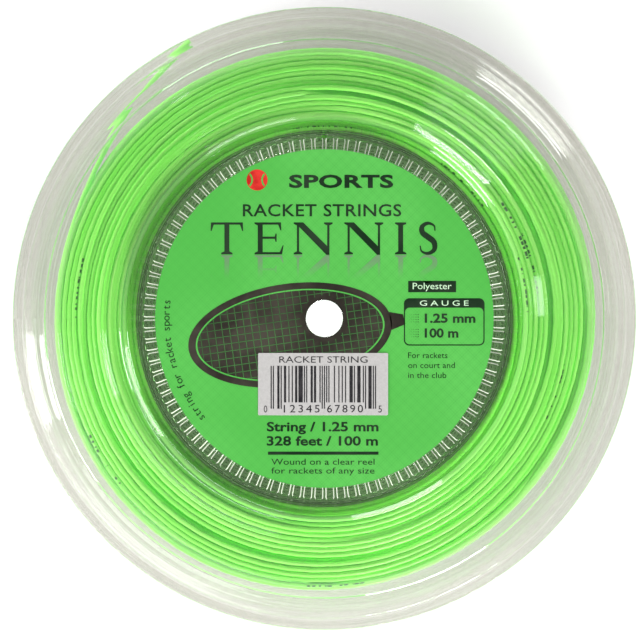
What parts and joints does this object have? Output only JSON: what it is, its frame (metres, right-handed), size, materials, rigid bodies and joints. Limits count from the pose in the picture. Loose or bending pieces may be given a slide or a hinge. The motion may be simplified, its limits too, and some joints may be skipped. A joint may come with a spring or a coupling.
{
  "type": "string reel",
  "caption": "Flat clear reel of racket string, wound on a drum between two shallow conical flanges.",
  "frame": {"origin": "centre of the footprint, on the plane that the rear hub ring rests on, on the spindle bore's axis", "axes": "+Z along the spindle bore, out of the front label; +Y towards the top of the front label's print"},
  "size_m": [0.15, 0.15, 0.032],
  "materials": {
    "clear_plastic": "clear, polished, slightly milky",
    "polyester_string": "glossy monofilament",
    "label_print": "satin printed film",
    "sticker_paper": "coated white label paper"
  },
  "bodies": {
    "rear_end": {"rear_flange": "clear_plastic", "rear_label": "label_print"},
    "wound_drum": {"drum": "clear_plastic", "string_coil": "polyester_string", "string_tail": "polyester_string"},
    "front_end": {"front_flange": "clear_plastic", "front_label": "label_print", "barcode_sticker": "sticker_paper"}
  },
  "joints": [
    {"name": "drum_pull_off", "type": "slide", "parent": "rear_end", "child": "wound_drum", "axis": [0, 0, 1], "range_m": [0, 0.03]},
    {"name": "front_flange_pull_off", "type": "slide", "parent": "wound_drum", "child": "front_end", "axis": [0, 0, 1], "range_m": [0, 0.03]}
  ]
}
